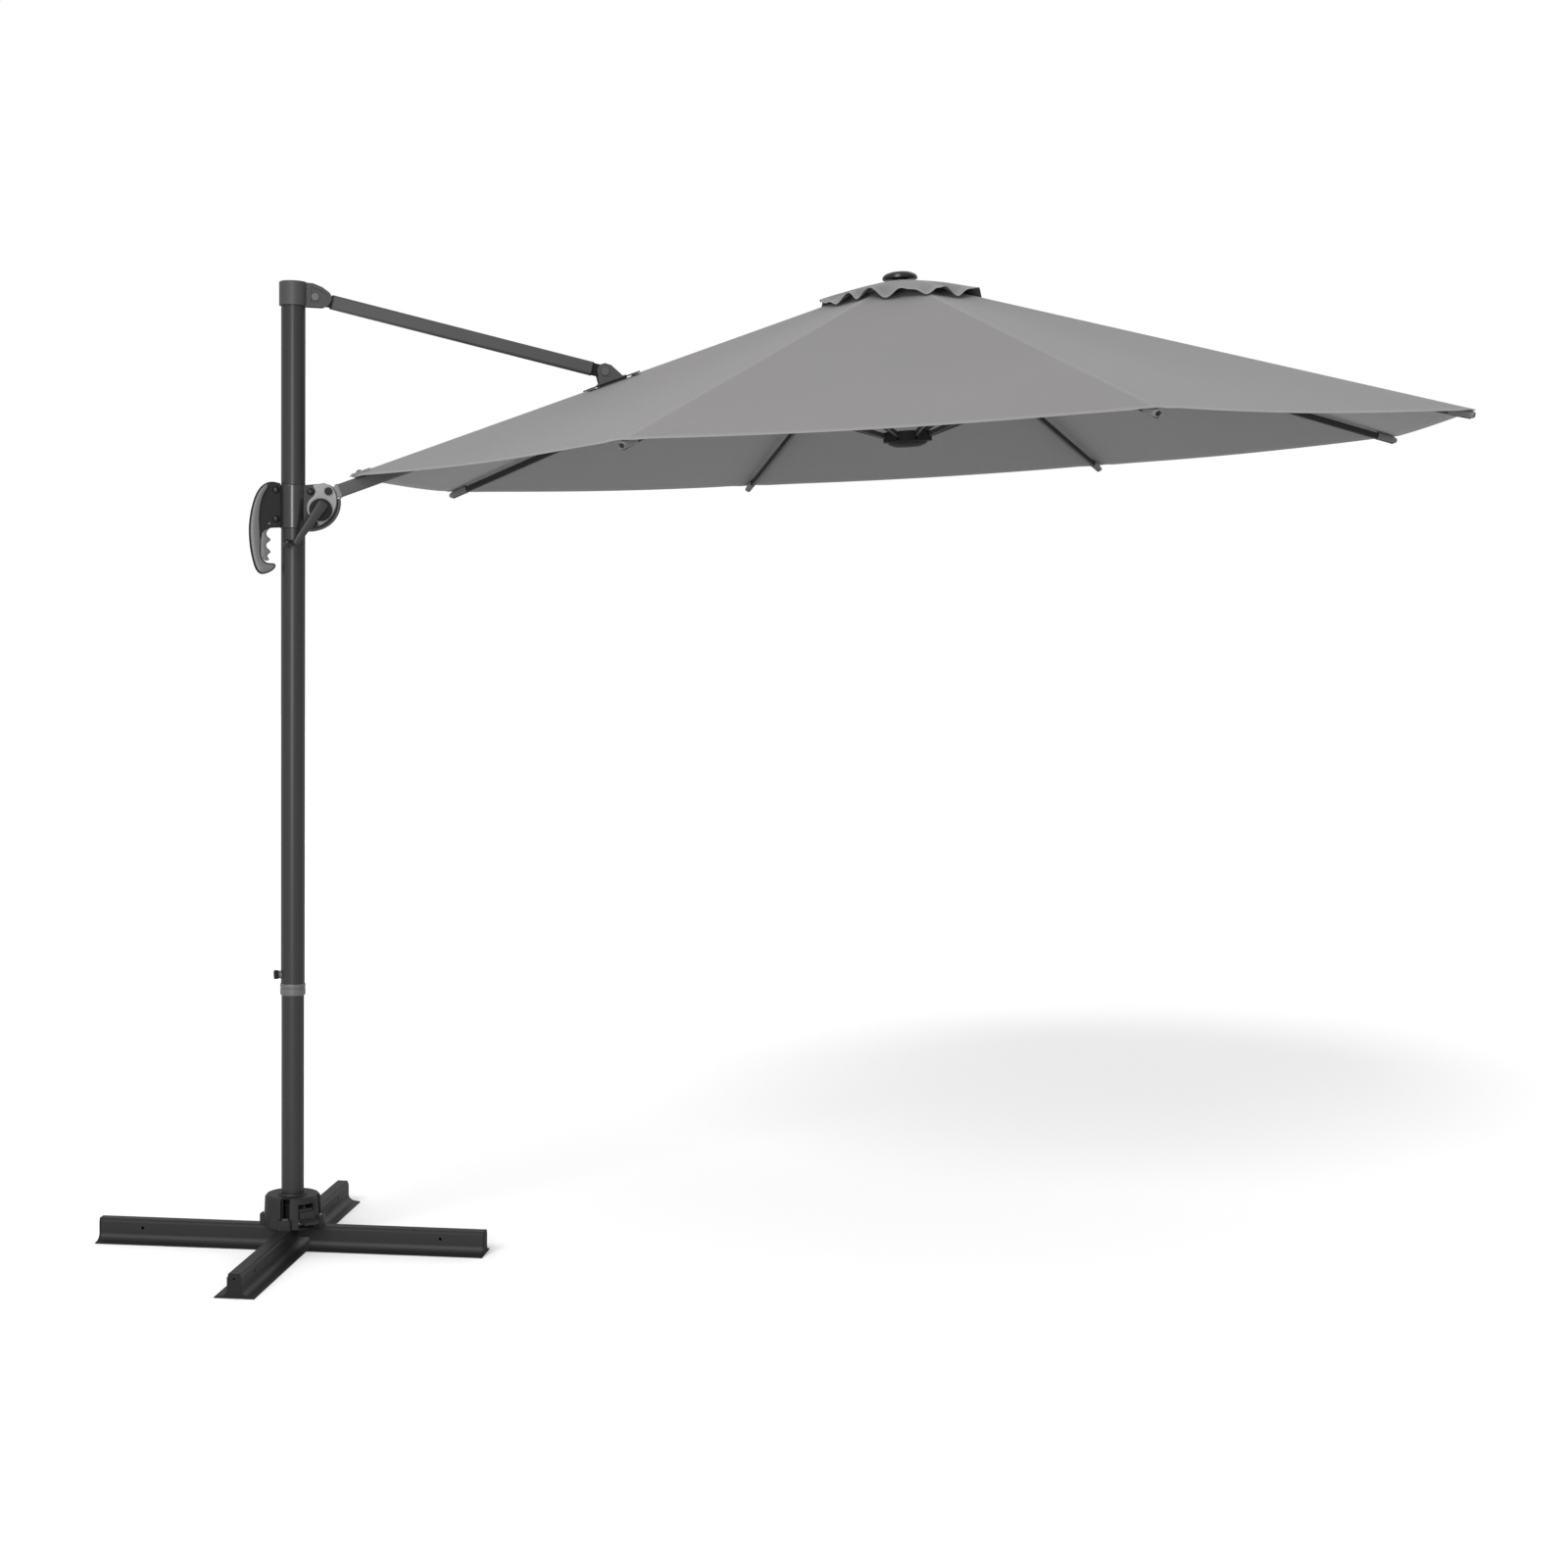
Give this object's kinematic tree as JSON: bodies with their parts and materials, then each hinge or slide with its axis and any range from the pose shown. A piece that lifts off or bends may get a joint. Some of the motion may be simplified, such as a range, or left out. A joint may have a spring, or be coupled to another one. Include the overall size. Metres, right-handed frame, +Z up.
{
  "type": "cantilever parasol",
  "caption": "Grey octagonal cantilever parasol: mast on a steel cross base, strut, tilting boom, sliding grip with crank, vented folding canopy.",
  "frame": {"origin": "on the floor under the mast's axis", "axes": "+Z up along the mast, +X from the mast out along the boom"},
  "size_m": [3.6406, 3.026, 2.5768],
  "materials": {
    "dark_steel": "satin powder coat, anthracite",
    "dark_aluminium": "satin powder coat, anthracite",
    "cast": "satin coated casting, anthracite",
    "plastic": "matte, slightly grained",
    "light_plate": "fine speckled light grey",
    "bright": "satin anodised",
    "bolts": "blackened",
    "fabric": "woven, taupe grey"
  },
  "bodies": {
    "base": {"cross_beam_long": "dark_steel", "cross_beam_short": "dark_steel", "beam_end_caps": "plastic", "base_hub": "cast", "hub_bolts": "bolts", "pivot_post": "dark_steel", "pedal_pin": "bolts"},
    "pedal": {"foot_pedal": "plastic"},
    "mast": {"mast_lower_tube": "dark_steel", "mast_upper_tube": "dark_steel", "swivel_bushes": "plastic", "index_ring": "plastic", "mast_collar": "plastic", "clamp_seat": "plastic", "mast_cap": "cast", "cap_pivot_bolt": "bolts"},
    "clamp": {"clamp_knob": "plastic"},
    "strut": {"strut_tube": "dark_aluminium", "strut_upper_end": "plastic", "strut_lower_end": "plastic"},
    "slider": {"slider_casting": "cast", "glide_liners": "plastic", "cheek_plates": "light_plate", "rim_band": "plastic", "slider_bolts": "bolts", "boom_pivot_bolt": "bolts", "grip_handle": "plastic", "trigger_pin": "bolts"},
    "trigger": {"grip_trigger": "plastic"},
    "crank": {"crank_shaft": "plastic", "crank_arm": "dark_aluminium", "crank_stem": "bolts"},
    "knob": {"crank_knob": "plastic"},
    "boom": {"boom_tube": "dark_aluminium", "boom_foot": "bright", "boom_end": "plastic", "boom_lug": "dark_aluminium", "strut_bracket": "dark_aluminium", "strut_bolt": "bolts", "fabric_patch": "plastic"},
    "crown": {"crown_hub": "plastic", "finial_cap": "plastic", "canopy_fabric": "fabric", "vent_flap": "fabric"},
    "rib_1_body": {"rib_1": "dark_aluminium"},
    "rib_2_body": {"rib_2": "dark_aluminium"},
    "rib_3_body": {"rib_3": "dark_aluminium"},
    "rib_4_body": {"rib_4": "dark_aluminium"},
    "rib_5_body": {"rib_5": "dark_aluminium"},
    "rib_6_body": {"rib_6": "dark_aluminium"},
    "rib_7_body": {"rib_7": "dark_aluminium"},
    "stretcher_0_body": {"stretcher_0": "dark_aluminium"},
    "stretcher_1_body": {"stretcher_1": "dark_aluminium"},
    "stretcher_2_body": {"stretcher_2": "dark_aluminium"},
    "stretcher_3_body": {"stretcher_3": "dark_aluminium"},
    "stretcher_4_body": {"stretcher_4": "dark_aluminium"},
    "stretcher_5_body": {"stretcher_5": "dark_aluminium"},
    "stretcher_6_body": {"stretcher_6": "dark_aluminium"},
    "stretcher_7_body": {"stretcher_7": "dark_aluminium"},
    "runner_body": {"runner": "plastic"}
  },
  "joints": [
    {"name": "mast_swivel", "type": "hinge", "parent": "base", "child": "mast", "pos_m": [0, 0, 0.2], "axis": [0, 0, 1], "continuous": true},
    {"name": "pedal_press", "type": "hinge", "parent": "base", "child": "pedal", "pos_m": [0.02344, -0.05523, 0.106], "axis": [0.9205, 0.3907, 0], "range_deg": [0, 10], "stiffness_Nm_per_rad": 2, "springref_deg": -8.59},
    {"name": "clamp_turn", "type": "hinge", "parent": "mast", "child": "clamp", "pos_m": [-0.036, 0, 0.709], "axis": [-1, 0, 0], "continuous": true},
    {"name": "slider_travel", "type": "slide", "parent": "mast", "child": "slider", "axis": [0, 0, 1], "range_m": [-0.4, 0]},
    {"name": "boom_tilt", "type": "hinge", "parent": "slider", "child": "boom", "pos_m": [0.084, 0, 1.934], "axis": [0, 1, 0], "range_deg": [-13, 0]},
    {"name": "strut_swing", "type": "hinge", "parent": "mast", "child": "strut", "pos_m": [0.051, 0, 2.414], "axis": [0, 1, 0], "range_deg": [0, 20.5]},
    {"name": "trigger_squeeze", "type": "hinge", "parent": "slider", "child": "trigger", "pos_m": [-0.06, 0, 1.85], "axis": [0, 1, 0], "range_deg": [0, 4], "stiffness_Nm_per_rad": 3, "springref_deg": -5.73},
    {"name": "crank_turn", "type": "hinge", "parent": "slider", "child": "crank", "pos_m": [0.064, 0, 1.887], "axis": [0, 1, 0], "range_deg": [0, 3080]},
    {"name": "knob_spin", "type": "hinge", "parent": "crank", "child": "knob", "pos_m": [0.002, -0.0549, 1.805], "axis": [-0.9416, -0.2705, -0.2004], "continuous": true},
    {"name": "canopy_fold", "type": "hinge", "parent": "boom", "child": "crown", "pos_m": [1.56287, 0, 2.48826], "axis": [0, 1, 0], "range_deg": [0, 70], "deforming": ["canopy_fabric", "vent_flap"]},
    {"name": "rib_1_fold", "type": "hinge", "parent": "crown", "child": "rib_1_body", "pos_m": [1.57805, -0.03677, 2.48942], "axis": [0.7051, -0.7071, 0.0539], "range_deg": [0, 70.5]},
    {"name": "rib_2_fold", "type": "hinge", "parent": "crown", "child": "rib_2_body", "pos_m": [1.61471, -0.052, 2.49222], "axis": [0.9971, 0, 0.0762], "range_deg": [0, 70.5]},
    {"name": "rib_3_fold", "type": "hinge", "parent": "crown", "child": "rib_3_body", "pos_m": [1.65138, -0.03677, 2.49502], "axis": [0.7051, 0.7071, 0.0539], "range_deg": [0, 70.5]},
    {"name": "rib_4_fold", "type": "hinge", "parent": "crown", "child": "rib_4_body", "pos_m": [1.66656, 0, 2.49618], "axis": [0, 1, 0], "range_deg": [0, 70.5]},
    {"name": "rib_5_fold", "type": "hinge", "parent": "crown", "child": "rib_5_body", "pos_m": [1.65138, 0.03677, 2.49502], "axis": [-0.7051, 0.7071, -0.0539], "range_deg": [0, 70.5]},
    {"name": "rib_6_fold", "type": "hinge", "parent": "crown", "child": "rib_6_body", "pos_m": [1.61471, 0.052, 2.49222], "axis": [-0.9971, 0, -0.0762], "range_deg": [0, 70.5]},
    {"name": "rib_7_fold", "type": "hinge", "parent": "crown", "child": "rib_7_body", "pos_m": [1.57805, 0.03677, 2.48942], "axis": [-0.7051, -0.7071, -0.0539], "range_deg": [0, 70.5]},
    {"name": "stretcher_1_swing", "type": "hinge", "parent": "rib_1_body", "child": "stretcher_1_body", "pos_m": [1.20211, -0.42739, 2.28251], "axis": [0.7051, -0.7071, 0.0539], "range_deg": [-141, 0]},
    {"name": "stretcher_2_swing", "type": "hinge", "parent": "rib_2_body", "child": "stretcher_2_body", "pos_m": [1.62825, -0.60442, 2.31508], "axis": [0.9971, 0, 0.0762], "range_deg": [-141, 0]},
    {"name": "stretcher_3_swing", "type": "hinge", "parent": "rib_3_body", "child": "stretcher_3_body", "pos_m": [2.05439, -0.42739, 2.34765], "axis": [0.7051, 0.7071, 0.0539], "range_deg": [-141, 0]},
    {"name": "stretcher_4_swing", "type": "hinge", "parent": "rib_4_body", "child": "stretcher_4_body", "pos_m": [2.23091, 0, 2.36113], "axis": [0, 1, 0], "range_deg": [-141, 0]},
    {"name": "stretcher_5_swing", "type": "hinge", "parent": "rib_5_body", "child": "stretcher_5_body", "pos_m": [2.05439, 0.42739, 2.34765], "axis": [-0.7051, 0.7071, -0.0539], "range_deg": [-141, 0]},
    {"name": "stretcher_6_swing", "type": "hinge", "parent": "rib_6_body", "child": "stretcher_6_body", "pos_m": [1.62825, 0.60442, 2.31508], "axis": [-0.9971, 0, -0.0762], "range_deg": [-141, 0]},
    {"name": "stretcher_7_swing", "type": "hinge", "parent": "rib_7_body", "child": "stretcher_7_body", "pos_m": [1.20211, 0.42739, 2.28251], "axis": [-0.7051, -0.7071, -0.0539], "range_deg": [-141, 0]},
    {"name": "stretcher_0_swing", "type": "hinge", "parent": "boom", "child": "stretcher_0_body", "pos_m": [1.02559, 0, 2.26903], "axis": [0, -1, 0], "range_deg": [-141, 0]},
    {"name": "runner_level", "type": "hinge", "parent": "stretcher_0_body", "child": "runner_body", "pos_m": [1.58994, 0, 2.13398], "axis": [0, -1, 0], "range_deg": [0, 70.5]}
  ],
  "couplings": [
    {"joint": "rib_1_fold", "follows": "canopy_fold", "ratio": 1},
    {"joint": "rib_2_fold", "follows": "canopy_fold", "ratio": 1},
    {"joint": "rib_3_fold", "follows": "canopy_fold", "ratio": 1},
    {"joint": "rib_4_fold", "follows": "canopy_fold", "ratio": 1},
    {"joint": "rib_5_fold", "follows": "canopy_fold", "ratio": 1},
    {"joint": "rib_6_fold", "follows": "canopy_fold", "ratio": 1},
    {"joint": "rib_7_fold", "follows": "canopy_fold", "ratio": 1},
    {"joint": "stretcher_1_swing", "follows": "canopy_fold", "ratio": -2},
    {"joint": "stretcher_2_swing", "follows": "canopy_fold", "ratio": -2},
    {"joint": "stretcher_3_swing", "follows": "canopy_fold", "ratio": -2},
    {"joint": "stretcher_4_swing", "follows": "canopy_fold", "ratio": -2},
    {"joint": "stretcher_5_swing", "follows": "canopy_fold", "ratio": -2},
    {"joint": "stretcher_6_swing", "follows": "canopy_fold", "ratio": -2},
    {"joint": "stretcher_7_swing", "follows": "canopy_fold", "ratio": -2},
    {"joint": "stretcher_0_swing", "follows": "canopy_fold", "ratio": -2},
    {"joint": "runner_level", "follows": "canopy_fold", "ratio": 1},
    {"joint": "boom_tilt", "follows": "slider_travel", "rad_per_m": 0.554},
    {"joint": "strut_swing", "follows": "slider_travel", "rad_per_m": -0.875},
    {"joint": "crank_turn", "follows": "canopy_fold", "ratio": 43.9}
  ]
}
